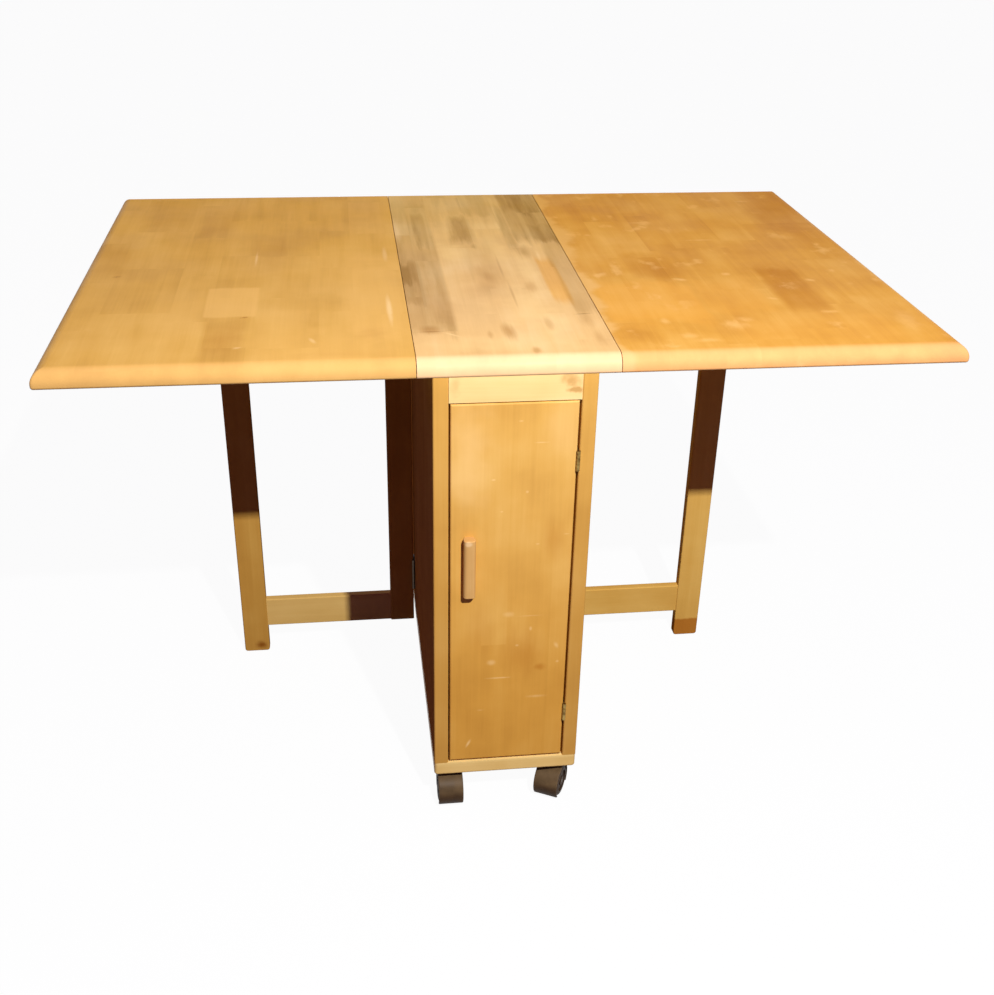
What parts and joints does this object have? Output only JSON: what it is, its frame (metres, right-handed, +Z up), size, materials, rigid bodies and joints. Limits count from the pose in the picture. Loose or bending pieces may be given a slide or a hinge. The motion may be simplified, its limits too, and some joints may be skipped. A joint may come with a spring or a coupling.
{
  "type": "folding serving table",
  "caption": "Drop-leaf serving table on casters: a narrow cabinet with a door carries a fixed centre top, and a gate leg swings out on each side to hold a folding leaf.",
  "frame": {"origin": "on the floor, under the middle of the top", "axes": "+Z up, +X along the open leaves towards the door's hinges, -Y towards the door"},
  "size_m": [1.182, 0.796, 0.75],
  "materials": {
    "top_wood": "satin varnish",
    "cabinet_wood": "satin varnish",
    "gate_wood": "satin varnish",
    "pull_wood": "satin varnish",
    "brass": "tarnished",
    "plated_steel": "dull zinc",
    "caster_plastic": "satin",
    "wheel_plastic": "satin",
    "catch_plastic": "matte"
  },
  "bodies": {
    "cabinet": {"centre_top": "top_wood", "side_panel_left": "cabinet_wood", "side_panel_right": "cabinet_wood", "bottom_board": "cabinet_wood", "front_top_rail": "cabinet_wood", "back_panel": "cabinet_wood", "top_cleat_left": "cabinet_wood", "top_cleat_right": "cabinet_wood", "door_catch": "catch_plastic", "door_hinge_fixed": "brass", "door_hinge_pins": "brass", "leaf_hinge_left_fixed": "plated_steel", "leaf_hinge_left_pins": "plated_steel", "gate_hinge_left_fixed": "plated_steel", "gate_hinge_left_pins": "plated_steel", "leaf_hinge_right_fixed": "plated_steel", "leaf_hinge_right_pins": "plated_steel", "gate_hinge_right_fixed": "plated_steel", "gate_hinge_right_pins": "plated_steel", "caster_plate_front_left": "plated_steel", "caster_stem_front_left": "plated_steel", "caster_plate_front_right": "plated_steel", "caster_stem_front_right": "plated_steel", "caster_plate_back_left": "plated_steel", "caster_stem_back_left": "plated_steel", "caster_plate_back_right": "plated_steel", "caster_stem_back_right": "plated_steel"},
    "leaf_left": {"leaf_left": "top_wood", "leaf_hinge_left_moving": "plated_steel", "stop_block_left": "gate_wood"},
    "gate_left": {"gate_stile_left": "gate_wood", "gate_leg_left": "gate_wood", "gate_top_rail_left": "gate_wood", "gate_bottom_rail_left": "gate_wood", "gate_hinge_left_moving": "plated_steel"},
    "leaf_right": {"leaf_right": "top_wood", "leaf_hinge_right_moving": "plated_steel", "stop_block_right": "gate_wood"},
    "gate_right": {"gate_stile_right": "gate_wood", "gate_leg_right": "gate_wood", "gate_top_rail_right": "gate_wood", "gate_bottom_rail_right": "gate_wood", "gate_hinge_right_moving": "plated_steel"},
    "door": {"door_panel": "cabinet_wood", "door_handle": "pull_wood", "strike_plate": "plated_steel", "door_hinge_moving": "brass"},
    "caster_front_left": {"caster_hood_front_left": "caster_plastic"},
    "wheels_front_left": {"caster_wheels_front_left": "wheel_plastic", "caster_axle_front_left": "plated_steel"},
    "caster_front_right": {"caster_hood_front_right": "caster_plastic"},
    "wheels_front_right": {"caster_wheels_front_right": "wheel_plastic", "caster_axle_front_right": "plated_steel"},
    "caster_back_left": {"caster_hood_back_left": "caster_plastic"},
    "wheels_back_left": {"caster_wheels_back_left": "wheel_plastic", "caster_axle_back_left": "plated_steel"},
    "caster_back_right": {"caster_hood_back_right": "caster_plastic"},
    "wheels_back_right": {"caster_wheels_back_right": "wheel_plastic", "caster_axle_back_right": "plated_steel"}
  },
  "joints": [
    {"name": "leaf_left_lift", "type": "hinge", "parent": "cabinet", "child": "leaf_left", "pos_m": [-0.1295, 0, 0.7227], "axis": [0, 1, 0], "range_deg": [0, 1.5]},
    {"name": "gate_left_swing", "type": "hinge", "parent": "cabinet", "child": "gate_left", "pos_m": [-0.1108, 0.0722, 0.395], "axis": [0, 0, 1], "range_deg": [0, 90]},
    {"name": "leaf_right_lift", "type": "hinge", "parent": "cabinet", "child": "leaf_right", "pos_m": [0.1295, 0, 0.7227], "axis": [0, -1, 0], "range_deg": [0, 1.5]},
    {"name": "gate_right_swing", "type": "hinge", "parent": "cabinet", "child": "gate_right", "pos_m": [0.1108, 0.0502, 0.395], "axis": [0, 0, -1], "range_deg": [0, 90]},
    {"name": "door_swing", "type": "hinge", "parent": "cabinet", "child": "door", "pos_m": [0.0857, -0.3688, 0.381], "axis": [0, 0, 1], "range_deg": [0, 170]},
    {"name": "caster_front_left_swivel", "type": "hinge", "parent": "cabinet", "child": "caster_front_left", "pos_m": [-0.083, -0.33, 0.05], "axis": [0, 0, 1], "continuous": true},
    {"name": "caster_front_left_roll", "type": "hinge", "parent": "caster_front_left", "child": "wheels_front_left", "pos_m": [-0.083, -0.347, 0.025], "axis": [1, 0, 0], "continuous": true},
    {"name": "caster_front_right_swivel", "type": "hinge", "parent": "cabinet", "child": "caster_front_right", "pos_m": [0.083, -0.33, 0.05], "axis": [0, 0, 1], "continuous": true},
    {"name": "caster_front_right_roll", "type": "hinge", "parent": "caster_front_right", "child": "wheels_front_right", "pos_m": [0.07502, -0.34501, 0.025], "axis": [0.8829, -0.4695, 0], "continuous": true},
    {"name": "caster_back_left_swivel", "type": "hinge", "parent": "cabinet", "child": "caster_back_left", "pos_m": [-0.083, 0.33, 0.05], "axis": [0, 0, 1], "continuous": true},
    {"name": "caster_back_left_roll", "type": "hinge", "parent": "caster_back_left", "child": "wheels_back_left", "pos_m": [-0.07502, 0.34501, 0.025], "axis": [-0.8829, 0.4695, 0], "continuous": true},
    {"name": "caster_back_right_swivel", "type": "hinge", "parent": "cabinet", "child": "caster_back_right", "pos_m": [0.083, 0.33, 0.05], "axis": [0, 0, 1], "continuous": true},
    {"name": "caster_back_right_roll", "type": "hinge", "parent": "caster_back_right", "child": "wheels_back_right", "pos_m": [0.0786, 0.34642, 0.025], "axis": [-0.9659, -0.2588, 0], "continuous": true}
  ]
}
